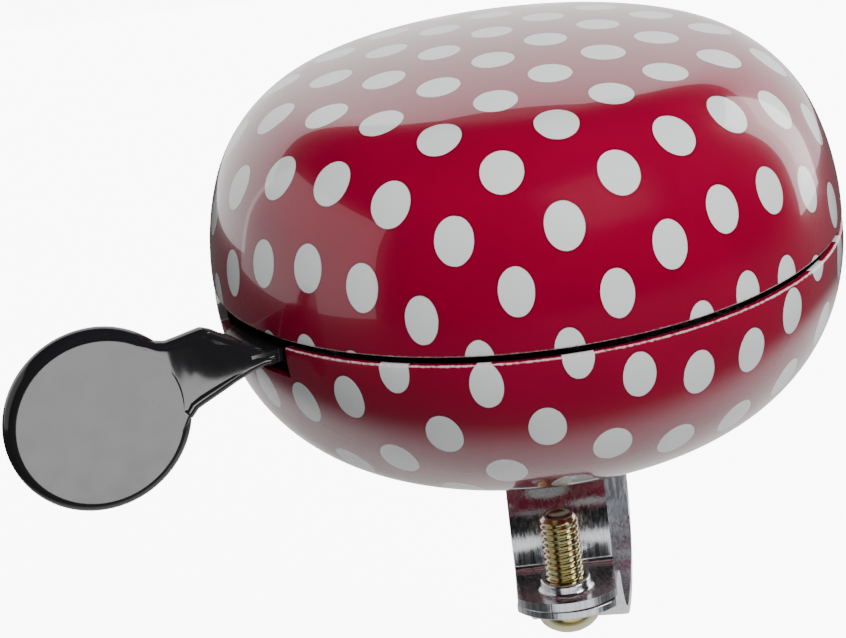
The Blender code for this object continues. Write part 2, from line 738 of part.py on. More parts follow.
def build_bolt():
    seat = FLANGE_TOP - BAND_T * 2 - FLANGE_GAP - GAP
    edge = BOLT_HEAD_R
    base = seat - BOLT_HEAD_H
    profile = [
        (0, BOLT_TOP), (BOLT_R - 0.4, BOLT_TOP), (BOLT_R, BOLT_TOP - 0.4), (BOLT_R, seat),
        (edge, seat), (edge, seat - 1.2), (edge - 0.3, seat - 2.0), (edge - 1.0, base + 0.4),
        (edge - 2.0, base + 0.05), (0, base),
    ]
    bolt = lathe("clamp_bolt", profile, 32)
    bolt.location = (0, BOLT_Y * MM, 0)
    arm = 2.1
    slot = 0.5
    cross_x = block("drive_x", (-arm, BOLT_Y - slot, base - 1), (arm, BOLT_Y + slot, base + 1.6), CUTTERS)
    cross_y = block("drive_y", (-slot, BOLT_Y - arm, base - 1), (slot, BOLT_Y + arm, base + 1.6), CUTTERS)
    cut(bolt, cross_x, cross_y)
    finish_node(bolt, "gold_zinc", 30)


# ---------------------------------------------------------------- assembly

def make_empty(name, location, turn):
    empty = bpy.data.objects.new(name, None)
    empty.location = Vector(location) * MM
    empty.rotation_euler = (0, 0, math.radians(turn))
    BELL.objects.link(empty)
    return empty


def build_mechanism():
    carrier = make_empty("mechanism_axes", (0, 0, 0), MECHANISM_TURN)
    others = list(CUTTERS.objects.keys())
    build_base_plate(carrier)
    build_return_spring(carrier)
    build_lever(carrier)
    arm_low, arm_high = build_rotor(carrier)
    build_hammers(carrier, arm_low, arm_high)
    hold_new_cutters(others, carrier)


def strap_hanger():
    """An empty that skews the strap about the bolt, in the clamp's own axes."""
    skew = math.radians(STRAP_SKEW)
    x = BOLT_Y * math.sin(skew)
    y = BOLT_Y - BOLT_Y * math.cos(skew)
    return make_empty("strap_axes", (x, y, 0), STRAP_SKEW)


build_upper_dome()
build_centre_stack(build_lower_dome())
build_mechanism()
build_bracket()
build_strap(strap_hanger())
build_bolt()
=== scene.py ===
"""Looks for the double-dome bicycle bell: fine domes, lever, clamp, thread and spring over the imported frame.

Lengths are in millimetres and become metres where a mesh is made.  The split between the two domes
is at SPLIT_Z, the bell's axis is Z, the handlebar runs along X and the clamp bolt stands at -Y.
"""

import json
import math

import bmesh
import bpy
import numpy as np
from mathutils import Matrix, Vector


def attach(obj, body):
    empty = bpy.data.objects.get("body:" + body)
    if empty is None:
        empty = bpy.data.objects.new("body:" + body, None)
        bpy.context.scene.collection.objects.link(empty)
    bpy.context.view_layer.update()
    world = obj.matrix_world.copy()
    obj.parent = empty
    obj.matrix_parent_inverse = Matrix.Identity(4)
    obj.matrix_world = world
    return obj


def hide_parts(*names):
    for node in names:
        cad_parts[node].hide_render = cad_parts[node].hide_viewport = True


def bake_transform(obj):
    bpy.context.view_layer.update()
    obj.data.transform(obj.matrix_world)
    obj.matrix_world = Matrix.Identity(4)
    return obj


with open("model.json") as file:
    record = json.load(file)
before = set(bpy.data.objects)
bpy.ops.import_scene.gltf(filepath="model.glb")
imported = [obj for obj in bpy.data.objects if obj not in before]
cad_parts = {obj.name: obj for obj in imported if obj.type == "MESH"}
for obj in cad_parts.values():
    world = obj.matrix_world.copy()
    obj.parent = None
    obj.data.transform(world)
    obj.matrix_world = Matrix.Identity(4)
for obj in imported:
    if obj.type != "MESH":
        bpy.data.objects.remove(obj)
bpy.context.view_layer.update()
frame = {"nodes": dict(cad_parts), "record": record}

MM = 0.001
ROD_STEPS = 64

# Domes
DOME_R = 40.0
SHEET = 1.0
DOME_STEPS = 192
CURVE_STEP = 0.9
SPLIT_Z = 29.4
RIM_GAP = 0.95
RIM_ROUND = 0.3
UPPER_ARCS = ((None, 12.5), (14.0, 35.0), (18.8, 70.0), (34.5, 91.0))
LOWER_FLAT = 7.0
LOWER_ARCS = ((None, 17.6), (21.8, 68.5), (25.5, 91.5))
NOTCH_DEEP = (9.7, -5.0, 4.0)
NOTCH_SHALLOW = (-4.5, -20.0, 2.2)
MECHANISM_TURN = 32.0
LOWER_BORE = 2.6

# Dot pattern: printed on the flat sheet as a staggered grid, then drawn with it
DOT_R = 2.6
DOT_SHRINK = 0.13
DOT_ACROSS = 13.0
DOT_ROWS = 11.8
DRAW = 0.0020
SHEET_EDGE = 50.0
UPPER_PRINT = (-1.17, 3.43, -0.9)
LOWER_PRINT = (1.0, 0.6, -10.3)

# Clamp
BAR_R = 11.1
BAND_T = 1.1
BAND_W = 12.6
SOFT_EDGE = 0.16
STUD_HOLE = 2.55
BEND_STEPS = 20
LEG_Y = BAR_R + 0.2 + BAND_T / 2
FRONT_BEND = 9.5
REAR_BEND = 1.8
FLANGE_BEND = 1.4
FLANGE_TOP = -11.1
FLANGE_GAP = 0.1
FLANGE_CORNER_Y = -20.1
FLANGE_FRONT_Y = -23.1
HOOK_Z = -7.0
REAR_W = 20.0
TONGUE_W = 7.0
STRAP_SKEW = -6.5
SLOT_LONG = 0.9
COLLAR_R = 3.15
COLLAR_H = 1.5
BOLT_Y = -18.3
BOLT_R = 2.4
BOLT_TOP = -1.0
BOLT_HEAD_R = 3.95
BOLT_HEAD_H = 3.1
CROSS_LONG = 2.1
CROSS_SHORT = 0.5
CROSS_DEEP = 1.6
THREAD_PITCH = 0.8
THREAD_DEPTH = 0.42

# Lever
WEB_X = -40.7
WEB_Y = -5.9
WEB_TURN = 168.0
PAD_R = 11.34
PAD_T = 3.0
PAD_ALONG = 21.7
PAD_DROP = -4.85
PAD_BEAD = 1.35
WEB_T = 2.4
WEB_START = 0.3
WEB_LENGTH = 17.2
WEB_STEPS = 56
WEB_CORNER = 0.9
WEB_LEAN = 1.5
WEB_SUNK = 0.25
ARM_TOP = -1.25
ARM_T = 1.65
PIVOT_X = -24.0
INNER_END = -39.8

# Return spring
SPRING_R = 3.5
SPRING_LOW = 28.65
SPRING_PITCH = 0.74
SPRING_TURNS = 2.75
WIRE_R = 0.35

# Studio (the floor in millimetres) and camera (in metres and degrees)
FLOOR_Z = -95
FLOOR_REACH = 4000
WHITE_GLOW = 9.0
WORLD_DIM = 0.012
CAMERA_UP = 19.21
CAMERA_AWAY = 0.35628
CAMERA_AIM = (-0.01087, 0, -0.00629)
CAMERA_ROLL = -7.35
CAMERA_LENS = 119.16
CAMERA_SHIFT = (-0.02768, -0.03014)


# ---------------------------------------------------------------- mesh helpers

def add(name, mesh):
    obj = bpy.data.objects.new(name, mesh)
    bpy.context.scene.collection.objects.link(obj)
    return obj


def mesh_from(name, points, faces):
    mesh = bpy.data.meshes.new(name)
    mesh.from_pydata([tuple(c * MM for c in p) for p in points], [], faces)
    mesh.validate()
    bm = bmesh.new()
    bm.from_mesh(mesh)
    bmesh.ops.remove_doubles(bm, verts=bm.verts, dist=1e-7)
    bmesh.ops.recalc_face_normals(bm, faces=bm.faces)
    bm.to_mesh(mesh)
    bm.free()
    return add(name, mesh)


def bake(obj):
    """Applies the object's modifiers, so that its mesh is final."""
    bpy.context.view_layer.update()
    shaped = obj.evaluated_get(bpy.context.evaluated_depsgraph_get())
    mesh = bpy.data.meshes.new_from_object(shaped)
    obj.modifiers.clear()
    obj.data = mesh
    return obj


def boolean(obj, other, operation):
    modifier = obj.modifiers.new("boolean", "BOOLEAN")
    modifier.operation = operation
    modifier.solver = "EXACT"
    modifier.object = other
    bake(obj)
    bpy.data.objects.remove(other)
    return obj


def smooth(obj, angle=35.0):
    obj.data.polygons.foreach_set("use_smooth", [True] * len(obj.data.polygons))
    obj.data.set_sharp_from_angle(angle=math.radians(angle))
    return obj


def soften(obj, width, segments=3, angle=35.0):
    """Rounds the sharp edges by a bevel of the given width."""
    obj.data.polygons.foreach_set("use_smooth", [True] * len(obj.data.polygons))
    modifier = obj.modifiers.new("soft_edges", "BEVEL")
    modifier.width = width * MM
    modifier.segments = segments
    modifier.limit_method = "ANGLE"
    modifier.angle_limit = math.radians(angle)
    modifier.use_clamp_overlap = True
    modifier.harden_normals = True
    return obj


def merge(obj, *others):
    """Puts the other objects' meshes into this one as they stand."""
    bpy.context.view_layer.update()
    bm = bmesh.new()
    for part in (obj, *others):
        mesh = part.data.copy()
        mesh.transform(obj.matrix_world.inverted() @ part.matrix_world)
        bm.from_mesh(mesh)
    bm.to_mesh(obj.data)
    bm.free()
    for part in others:
        bpy.data.objects.remove(part)
    return obj


def polar(radius, degrees, x=0.0, y=0.0):
    a = math.radians(degrees)
    return (x + radius * math.cos(a), y + radius * math.sin(a))


def turned(points, degrees, x=0.0, y=0.0):
    c = math.cos(math.radians(degrees))
    s = math.sin(math.radians(degrees))
    return [(x + c * px - s * py, y + s * px + c * py) for px, py in points]


def arc(radius, start, end, steps, x=0.0, y=0.0):
    return [polar(radius, start + (end - start) * i / steps, x, y) for i in range(steps + 1)]


def lathe(name, outline, steps, x=0.0, y=0.0, radius=None):
    """Turns a closed (radius, height) outline about the upright axis through x, y.

    radius, if given, is a function of (index, angle) that adds to the outline's radius."""
    points = []
    faces = []
    count = len(outline)
    for i in range(steps):
        angle = 360 * i / steps
        for k, (r, z) in enumerate(outline):
            grown = r + (radius(k, angle) if radius and r > 0 else 0)
            points.append((*polar(grown, angle, x, y), z))
    for i in range(steps):
        j = (i + 1) % steps
        for k in range(count):
            m = (k + 1) % count
            if outline[k][0] == 0 and outline[m][0] == 0:
                continue
            faces.append((i * count + k, j * count + k, j * count + m, i * count + m))
    return mesh_from(name, points, faces)


def plate(name, outline, z0, z1):
    """A flat slab between two heights."""
    count = len(outline)
    points = [(x, y, z0) for x, y in outline] + [(x, y, z1) for x, y in outline]
    faces = [tuple(range(count))[::-1], tuple(range(count, 2 * count))]
    faces += [(i, (i + 1) % count, count + (i + 1) % count, count + i) for i in range(count)]
    return mesh_from(name, points, faces)


def block(name, low, high):
    corners = [(low[0], low[1]), (high[0], low[1]), (high[0], high[1]), (low[0], high[1])]
    return plate(name, corners, low[2], high[2])


def rod(name, radius, z0, z1, x=0.0, y=0.0):
    return lathe(name, [(0, z1), (radius, z1), (radius, z0), (0, z0)], ROD_STEPS, x, y)


def hull(name, points):
    bm = bmesh.new()
    for point in points:
        bm.verts.new([c * MM for c in point])
    bmesh.ops.convex_hull(bm, input=bm.verts)
    mesh = bpy.data.meshes.new(name)
    bm.to_mesh(mesh)
    bm.free()
    return add(name, mesh)


def loft(name, sections):
    """Skins closed sections that all have the same number of points, and caps the ends."""
    count = len(sections[0])
    points = [p for section in sections for p in section]
    faces = []
    for i in range(len(sections) - 1):
        for k in range(count):
            m = (k + 1) % count
            faces.append((i * count + k, i * count + m, (i + 1) * count + m, (i + 1) * count + k))
    last = (len(sections) - 1) * count
    faces += [tuple(range(count))[::-1], tuple(last + k for k in range(count))]
    return mesh_from(name, points, faces)


def tube(name, path, radius, sides=16):
    """A round rod along a path; radius is a number or a function of the share of the way."""
    nodes = [Vector(p) for p in path]
    sections = []
    side = None
    for i, here in enumerate(nodes):
        ahead = (nodes[min(i + 1, len(nodes) - 1)] - nodes[max(i - 1, 0)]).normalized()
        if side is None:
            side = ahead.orthogonal().normalized()
        side = (side - ahead * side.dot(ahead)).normalized()
        across = ahead.cross(side)
        r = radius(i / (len(nodes) - 1)) if callable(radius) else radius
        ring = []
        for k in range(sides):
            a = 2 * math.pi * k / sides
            ring.append(tuple(here + side * (r * math.cos(a)) + across * (r * math.sin(a))))
        sections.append(ring)
    return loft(name, sections)


# ---------------------------------------------------------------- materials

class Nodes:
    """Short ways to build a node material."""

    def __init__(self, name):
        self.material = bpy.data.materials.new(name)
        self.material.use_nodes = True
        self.tree = self.material.node_tree
        self.shader = self.tree.nodes["Principled BSDF"]

    def new(self, kind, **settings):
        node = self.tree.nodes.new(kind)
        for key, value in settings.items():
            setattr(node, key, value)
        return node

    def link(self, source, target):
        self.tree.links.new(source, target)

    def feed(self, target, value):
        if isinstance(value, bpy.types.NodeSocket):
            self.link(value, target)
        elif isinstance(value, (tuple, list)) and len(value) == 3 and target.type == "RGBA":
            target.default_value = (*value, 1)
        else:
            target.default_value = value

    def set(self, **inputs):
        for key, value in inputs.items():
            self.feed(self.shader.inputs[key.replace("_", " ")], value)
        return self

    def math(self, operation, a, b=0.0, c=0.0, clamp=False):
        node = self.new("ShaderNodeMath", operation=operation, use_clamp=clamp)
        self.feed(node.inputs[0], a)
        self.feed(node.inputs[1], b)
        self.feed(node.inputs[2], c)
        return node.outputs[0]

    def vector(self, operation, a, b=(0, 0, 0)):
        node = self.new("ShaderNodeVectorMath", operation=operation)
        self.feed(node.inputs[0], a)
        self.feed(node.inputs[1], b)
        return node.outputs["Value" if operation in ("LENGTH", "DOT_PRODUCT") else "Vector"]

    def step(self, value, low, high, to_low=0.0, to_high=1.0):
        node = self.new("ShaderNodeMapRange", interpolation_type="SMOOTHSTEP")
        self.feed(node.inputs["Value"], value)
        for key, number in (("From Min", low), ("From Max", high), ("To Min", to_low), ("To Max", to_high)):
            node.inputs[key].default_value = number
        return node.outputs["Result"]

    def mix(self, share, a, b):
        node = self.new("ShaderNodeMix", data_type="RGBA")
        self.feed(node.inputs["Factor"], share)
        self.feed(node.inputs["A"], a)
        self.feed(node.inputs["B"], b)
        return node.outputs["Result"]

    def attribute(self, name, output="Fac"):
        return self.new("ShaderNodeAttribute", attribute_name=name).outputs[output]

    def place(self, scale=(1, 1, 1)):
        """Object coordinates in millimetres, stretched by scale."""
        coordinates = self.new("ShaderNodeTexCoord").outputs["Object"]
        return self.vector("MULTIPLY", coordinates, tuple(s / MM for s in scale))

    def noise(self, scale, detail=2.0, stretch=(1, 1, 1)):
        node = self.new("ShaderNodeTexNoise")
        self.link(self.place(stretch), node.inputs["Vector"])
        node.inputs["Scale"].default_value = scale
        node.inputs["Detail"].default_value = detail
        return node.outputs["Fac"]

    def bump(self, height, depth, strength=1.0):
        node = self.new("ShaderNodeBump")
        node.inputs["Strength"].default_value = strength
        node.inputs["Distance"].default_value = depth * MM
        self.link(height, node.inputs["Height"])
        self.link(node.outputs["Normal"], self.shader.inputs["Normal"])
        return self


CRIMSON = (0.30, 0.0, 0.028)
CRIMSON_DEEP = (0.17, 0.0, 0.016)
DOT_WHITE = (0.84, 0.86, 0.86)
BARE_EDGE = (0.70, 0.50, 0.53)


def paint_material(name, shift_x, shift_y, turn):
    """Gloss crimson enamel; the dots are found from where each point lay on the flat sheet."""
    n = Nodes(name)
    sheet = n.attribute("sheet", "Vector")
    moved = n.vector("SUBTRACT", sheet, (shift_x, shift_y, 0))
    rotate = n.new("ShaderNodeVectorRotate", rotation_type="Z_AXIS")
    n.link(moved, rotate.inputs["Vector"])
    rotate.inputs["Angle"].default_value = math.radians(-turn)
    cell = n.vector("MULTIPLY", rotate.outputs["Vector"], (1 / DOT_ACROSS, 1 / DOT_ROWS, 0))
    nearest = []
    for offset in (0.5, 0.0):
        share = n.vector("FRACTION", n.vector("ADD", cell, (offset, offset, 0)))
        centred = n.vector("SUBTRACT", share, (0.5, 0.5, 0))
        nearest.append(n.vector("LENGTH", n.vector("MULTIPLY", centred, (DOT_ACROSS, DOT_ROWS, 0))))
    distance = n.math("MINIMUM", *nearest)
    out = n.math("DIVIDE", n.vector("LENGTH", sheet), SHEET_EDGE)
    radius = n.math("MULTIPLY_ADD", n.math("POWER", out, 2.0), -DOT_R * DOT_SHRINK, DOT_R)
    wobble = n.math("MULTIPLY", n.math("SUBTRACT", n.noise(0.9), 0.5), 0.10)
    beyond = n.math("ADD", n.math("SUBTRACT", distance, radius), wobble)
    dot = n.step(beyond, -0.05, 0.05, 1.0, 0.0)
    ring = n.math("MULTIPLY", n.step(beyond, 0.0, 0.06), n.step(beyond, 0.10, 0.34, 1.0, 0.0))
    mottle = n.step(n.noise(0.12, 3.0), 0.3, 0.7)
    crimson = n.mix(mottle, CRIMSON, tuple(c * 0.92 for c in CRIMSON))
    crimson = n.mix(n.math("MULTIPLY", ring, 0.55), crimson, CRIMSON_DEEP)
    painted = n.mix(dot, crimson, DOT_WHITE)
    ragged = n.math("ADD", n.attribute("rim"), n.math("MULTIPLY", n.noise(2.2, 4.0), 0.35))
    bare = n.step(ragged, 0.28, 0.42, 1.0, 0.0)
    colour = n.mix(bare, painted, BARE_EDGE)
    n.set(
        Base_Color=colour, Roughness=n.math("MULTIPLY_ADD", bare, 0.3, 0.22), Specular_IOR_Level=0.5,
        Coat_Weight=n.math("MULTIPLY_ADD", bare, -0.6, 1.0), Coat_Roughness=0.018, Coat_IOR=1.52,
    )
    return n.bump(n.noise(0.32, 1.0), 0.012, 0.35).material


def inside_material():
    n = Nodes("dome_inside")
    overspray = n.step(n.noise(0.25, 5.0), 0.42, 0.62)
    n.set(
        Base_Color=n.mix(overspray, (0.36, 0.35, 0.34), (0.10, 0.008, 0.014)),
        Metallic=n.math("MULTIPLY_ADD", overspray, -0.8, 0.9), Roughness=0.5,
    )
    return n.bump(n.noise(3.0, 3.0), 0.02, 0.4).material


def plastic_material():
    n = Nodes("black_plastic_gloss")
    haze = n.step(n.noise(0.35, 4.0), 0.35, 0.7)
    dust = n.step(n.noise(1.9, 2.0), 0.74, 0.80)
    n.set(
        Base_Color=n.mix(dust, (0.010, 0.010, 0.011), (0.030, 0.030, 0.030)),
        Roughness=n.math("MULTIPLY_ADD", haze, 0.05, 0.11), Specular_IOR_Level=0.62,
    )
    return n.bump(n.noise(0.22, 2.0), 0.018, 0.30).material


def metal_material(name, light, dark, rough, grain, stretch, bump_depth):
    """Plated or bare metal; grain is the scale of its marks and stretch draws them out."""
    n = Nodes(name)
    marks = n.noise(grain, 5.0, stretch)
    tone = n.step(marks, 0.35, 0.65)
    stain = n.step(n.noise(0.16, 3.0), 0.40, 0.72)
    n.set(
        Base_Color=n.mix(n.math("MULTIPLY", stain, 0.6), n.mix(tone, dark, light), dark),
        Metallic=1.0, Roughness=n.math("MULTIPLY_ADD", tone, rough * 0.5, rough * 0.75),
    )
    return n.bump(marks, bump_depth, 0.5).material


def gold_material():
    """Yellow passivate: gold that shifts to green and pink with the angle and from place to place."""
    n = Nodes("gold_zinc_iridescent")
    facing = n.new("ShaderNodeLayerWeight")
    facing.inputs["Blend"].default_value = 0.35
    drift = n.math("ADD", facing.outputs["Facing"], n.math("MULTIPLY", n.noise(0.45, 3.0), 0.9))
    green = n.mix(n.step(drift, 0.40, 0.72), (0.62, 0.49, 0.20), (0.50, 0.56, 0.32))
    pink = n.mix(n.step(drift, 0.74, 1.02), green, (0.68, 0.44, 0.42))
    n.set(
        Base_Color=pink, Metallic=1.0,
        Roughness=n.math("MULTIPLY_ADD", n.noise(1.4, 3.0), 0.10, 0.12),
    )
    return n.bump(n.noise(5.0, 3.0), 0.01, 0.3).material


def soft_material(name, light, dark, rough, grain, bump_depth):
    """Rubber, nylon or fibre."""
    n = Nodes(name)
    marks = n.noise(grain, 6.0)
    n.set(Base_Color=n.mix(marks, dark, light), Roughness=rough, Specular_IOR_Level=0.35)
    return n.bump(marks, bump_depth, 0.6).material


def make_finishes():
    even = (1, 1, 1)
    return {
        "chrome": metal_material(
            "chrome_drawn", (0.88, 0.89, 0.91), (0.60, 0.62, 0.66), 0.20, 1.1, (3.2, 3.2, 0.12), 0.045,
        ),
        "gold_zinc": gold_material(),
        "zinc_steel": metal_material(
            "zinc_plate", (0.66, 0.68, 0.71), (0.50, 0.51, 0.54), 0.30, 0.8, even, 0.008,
        ),
        "spring_steel": metal_material(
            "spring_wire", (0.50, 0.51, 0.53), (0.30, 0.31, 0.33), 0.28, 2.4, (1, 1, 4), 0.008,
        ),
        "brass": metal_material(
            "turned_brass", (0.78, 0.58, 0.25), (0.60, 0.42, 0.16), 0.22, 0.9, (0.3, 0.3, 6), 0.01,
        ),
        "white_nylon": soft_material("nylon", (0.78, 0.77, 0.72), (0.70, 0.68, 0.62), 0.42, 1.2, 0.02),
        "black_rubber": soft_material(
            "rubber", (0.028, 0.028, 0.028), (0.014, 0.014, 0.014), 0.75, 2.6, 0.05,
        ),
        "grey_fibre": soft_material("fibre", (0.26, 0.22, 0.18), (0.13, 0.11, 0.09), 0.85, 2.0, 0.06),
        "black_plastic": plastic_material(),
    }


FINISHES = make_finishes()


def dress(obj, finish):
    obj.data.materials.clear()
    obj.data.materials.append(FINISHES[finish])
    return obj


def stand_in(obj, finish, body, node):
    """Gives the piece its finish and puts it on its body in place of the frame's node."""
    dress(obj, finish)
    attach(obj, body)
    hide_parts(node)


# ---------------------------------------------------------------- domes

def dome_curve(flat, arcs, inset):
    """(radius, drop, way along the outside) from the middle to the rim, and the dome's height."""
    reach = DOME_R - flat
    slope = arcs[0][1]
    for radius, end in arcs[1:]:
        reach -= radius * (math.sin(math.radians(end)) - math.sin(math.radians(slope)))
        slope = end
    radii = [reach / math.sin(math.radians(arcs[0][1]))] + [radius for radius, _ in arcs[1:]]
    points = [(0.0, inset, 0.0)]
    if flat:
        points += [(flat * i / 6, inset, flat * i / 6) for i in range(1, 7)]
    x = flat
    drop = 0.0
    slope = 0.0
    way = flat
    for radius, (_, end) in zip(radii, arcs):
        centre_x = x - radius * math.sin(math.radians(slope))
        centre_drop = drop + radius * math.cos(math.radians(slope))
        length = radius * math.radians(end - slope)
        count = max(4, round(length / CURVE_STEP))
        for i in range(1, count + 1):
            angle = math.radians(slope + (end - slope) * i / count)
            inner = radius - inset
            points.append((
                min(centre_x + inner * math.sin(angle), DOME_R - inset),
                centre_drop - inner * math.cos(angle),
                way + length * i / count,
            ))
        x = centre_x + radius * math.sin(math.radians(end))
        drop = centre_drop - radius * math.cos(math.radians(end))
        slope = end
        way += length
    return points, drop


def rim_round(outer, inner, rim, sign):
    """The rolled-over rim between the outside and the inside of the sheet."""
    outside = arc(RIM_ROUND, 0, 90, 5)
    points = [(outer - RIM_ROUND + x, rim + sign * (RIM_ROUND - y)) for x, y in outside]
    points += [(inner + RIM_ROUND - y, rim + sign * (RIM_ROUND - x)) for x, y in outside]
    return points


def build_dome(name, flat, arcs, sign):
    """sign is 1 for the upper dome and -1 for the lower one."""
    outside, height = dome_curve(flat, arcs, 0.0)
    inside, _ = dome_curve(flat, arcs, SHEET)
    rim = SPLIT_Z if sign > 0 else SPLIT_Z - RIM_GAP
    limit = height - RIM_ROUND - 0.02
    outer = [(r, rim + sign * (height - d)) for r, d, _ in outside if d < limit]
    inner = [(r, rim + sign * (height - d)) for r, d, _ in inside if d < limit]
    edge = rim_round(outside[-1][0], inside[-1][0], rim, sign)
    outline = outer + edge + inner[::-1]
    dome = lathe(name, outline, DOME_STEPS)
    return dome, height, outside, rim


def mark_sheet(dome, outside, height, rim, sign):
    """Stores where each point lay on the flat sheet, and its distance from the rim's outer corner."""
    table = np.array([(r, rim + sign * (height - d), way) for r, d, way in outside])
    mesh = dome.data
    co = np.zeros(len(mesh.vertices) * 3)
    mesh.vertices.foreach_get("co", co)
    co = co.reshape(-1, 3) / MM
    radius = np.hypot(co[:, 0], co[:, 1])
    gap = (radius[:, None] - table[None, :, 0]) ** 2 + (co[:, 2][:, None] - table[None, :, 1]) ** 2
    first = np.argmin(gap, axis=1)
    before = np.clip(first - 1, 0, len(table) - 1)
    after = np.clip(first + 1, 0, len(table) - 1)
    chord = table[after, :2] - table[before, :2]
    step = np.stack([radius, co[:, 2]], 1) - table[before, :2]
    share = np.clip((step * chord).sum(1) / np.maximum((chord ** 2).sum(1), 1e-9), 0, 1)
    way = table[before, 2] + share * (table[after, 2] - table[before, 2])
    flat = way - DRAW * way ** 2
    out = flat / np.maximum(radius, 1e-6)
    out[radius < 1e-6] = 0
    sheet = np.stack([co[:, 0] * out, co[:, 1] * out, np.zeros(len(co))], 1)
    mesh.attributes.new("sheet", "FLOAT_VECTOR", "POINT").data.foreach_set("vector", sheet.ravel())
    corner = np.hypot(radius - table[-1, 0], co[:, 2] - rim)
    mesh.attributes.new("rim", "FLOAT", "POINT").data.foreach_set("value", corner)


def paint_dome(dome, material, height, rim, sign):
    """Paint outside, bare sheet with overspray inside."""
    dome.data.materials.clear()
    dome.data.materials.append(material)
    dome.data.materials.append(INSIDE)
    middle = rim + sign * height * 0.35
    for face in dome.data.polygons:
        c = face.center / MM
        inward = face.normal.x * c.x + face.normal.y * c.y + face.normal.z * (c.z - middle) < 0
        face.material_index = 1 if inward else 0
    return smooth(dome, 50)


def notch(name, start, end, depth):
    rim = SPLIT_Z - RIM_GAP
    outline = arc(DOME_R + 4, 180 + start, 180 + end, 12) + arc(DOME_R - 6, 180 + end, 180 + start, 12)
    return plate(name, turned(outline, MECHANISM_TURN), rim - depth, rim + 2)


INSIDE = inside_material()


def build_domes():
    upper, height, outside, rim = build_dome("upper_dome_shell", 0.0, UPPER_ARCS, 1)
    mark_sheet(upper, outside, height, rim, 1)
    paint_dome(upper, paint_material("crimson_dots_upper", *UPPER_PRINT), height, rim, 1)
    lower, height, outside, rim = build_dome("lower_dome_shell", LOWER_FLAT, LOWER_ARCS, -1)
    boolean(lower, notch("deep", *NOTCH_DEEP), "DIFFERENCE")
    boolean(lower, notch("shallow", *NOTCH_SHALLOW), "DIFFERENCE")
    base = rim - height
    boolean(lower, rod("bore", LOWER_BORE, base - 2, base + 4), "DIFFERENCE")
    mark_sheet(lower, outside, height, rim, -1)
    paint_dome(lower, paint_material("crimson_dots_lower", *LOWER_PRINT), height, rim, -1)
    for dome, node in ((upper, "upper_dome"), (lower, "lower_dome")):
        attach(dome, "bell_body")
        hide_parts(node)


# ---------------------------------------------------------------- lever

def web_point(along, height, back):
    """A point of the lever's upright web: along from its inner end, above the split, behind its face."""
    return (*turned([(along, -back)], WEB_TURN, WEB_X, WEB_Y)[0], SPLIT_Z + height)


def ease(value, low, high):
    t = min(1.0, max(0.0, (value - low) / (high - low)))
    return t * t * (3 - 2 * t)


def along_line(value, stops):
    """Straight-line reading of (place, value) stops."""
    for (x0, y0), (x1, y1) in zip(stops, stops[1:]):
        if value <= x1:
            return y0 + (y1 - y0) * max(0.0, value - x0) / (x1 - x0)
    return stops[-1][1]


WEB_TOP = (
    (0.2, -1.6), (1.6, -0.9), (6.4, 2.4), (7.6, 2.95), (9.0, 2.9),
    (12.4, 2.75), (13.6, 3.1), (14.8, 3.8), (18.0, 5.2),
)
WEB_FOOT = ((0.2, -2.9), (3.0, -3.6), (9.4, -6.0), (10.6, -6.6), (11.3, -7.8), (12.2, -9.2), (18.0, -12.6))


def web_section(along):
    """A rounded upright section; its head leans towards the bell and its face sinks inside the pad."""
    top = along_line(along, WEB_TOP)
    foot = along_line(along, WEB_FOOT)
    lean = WEB_LEAN * (1 - ease(along, 6.0, 12.8))
    corner = min(WEB_CORNER, (top - foot) / 2 - 0.05, WEB_T / 2 - 0.05)
    ring = []
    face = [(0.0, top - corner - (top - foot - 2 * corner) * k / 16) for k in range(1, 16)]
    for cx, cz, start, between in (
        (WEB_T - corner, top - corner, 0, []), (corner, top - corner, 90, face),
        (corner, foot + corner, 180, []), (WEB_T - corner, foot + corner, 270, []),
    ):
        ring += [(cx + corner * math.cos(math.radians(a)), cz + corner * math.sin(math.radians(a)))
                 for a in range(start, start + 91, 15)]
        ring += between
    points = []
    for back, z in ring:
        inside = PAD_R - PAD_BEAD - math.hypot(along - PAD_ALONG, z - PAD_DROP)
        sunk = WEB_SUNK * ease(inside, 0.0, 1.4)
        share = (z - foot) / max(top - foot, 0.1)
        points.append(web_point(along, z, back + sunk + lean * share ** 2 * (top - foot) / 9.0))
    return points


def build_web():
    stops = [WEB_START + WEB_LENGTH * i / WEB_STEPS for i in range(WEB_STEPS + 1)]
    return loft("web", [web_section(a) for a in stops])


def build_pad():
    """A round pad with a full bead round its edge, stood upright on the web."""
    half = PAD_T / 2
    bead = PAD_BEAD
    outline = [(0, half), (PAD_R - bead, half)]
    outline += [(PAD_R - bead + x, half - bead + y) for x, y in arc(bead, 90, 0, 10)[1:]]
    outline += [(PAD_R - bead + x, -half + bead + y) for x, y in arc(bead, 0, -90, 10)]
    outline += [(0, -half)]
    pad = lathe("pad", outline, 128)
    centre = Vector(web_point(PAD_ALONG, PAD_DROP, half)) * MM
    stand = Matrix.Translation(centre) @ Matrix.Rotation(math.radians(WEB_TURN), 4, "Z")
    pad.data.transform(stand @ Matrix.Rotation(math.radians(90), 4, "X"))
    return pad


def build_rib():
    """The bead along the web's lower edge, which runs out into the pad's own bead."""
    path = []
    for i in range(20):
        along = -0.2 + 11.2 * i / 19
        foot = along_line(max(along, 0.2), WEB_FOOT)
        path.append(web_point(along, foot + 0.95, 0.85))
    for i, (along, height) in enumerate(arc(PAD_R - 1.0, 186, 214, 8, PAD_ALONG, PAD_DROP)):
        path.append(web_point(along, height, 0.95 + 0.5 * i / 8))
    return tube("rib", path, lambda t: 0.72 + 0.28 * ease(t, 0.0, 0.6) - 0.5 * ease(t, 0.68, 1.0))


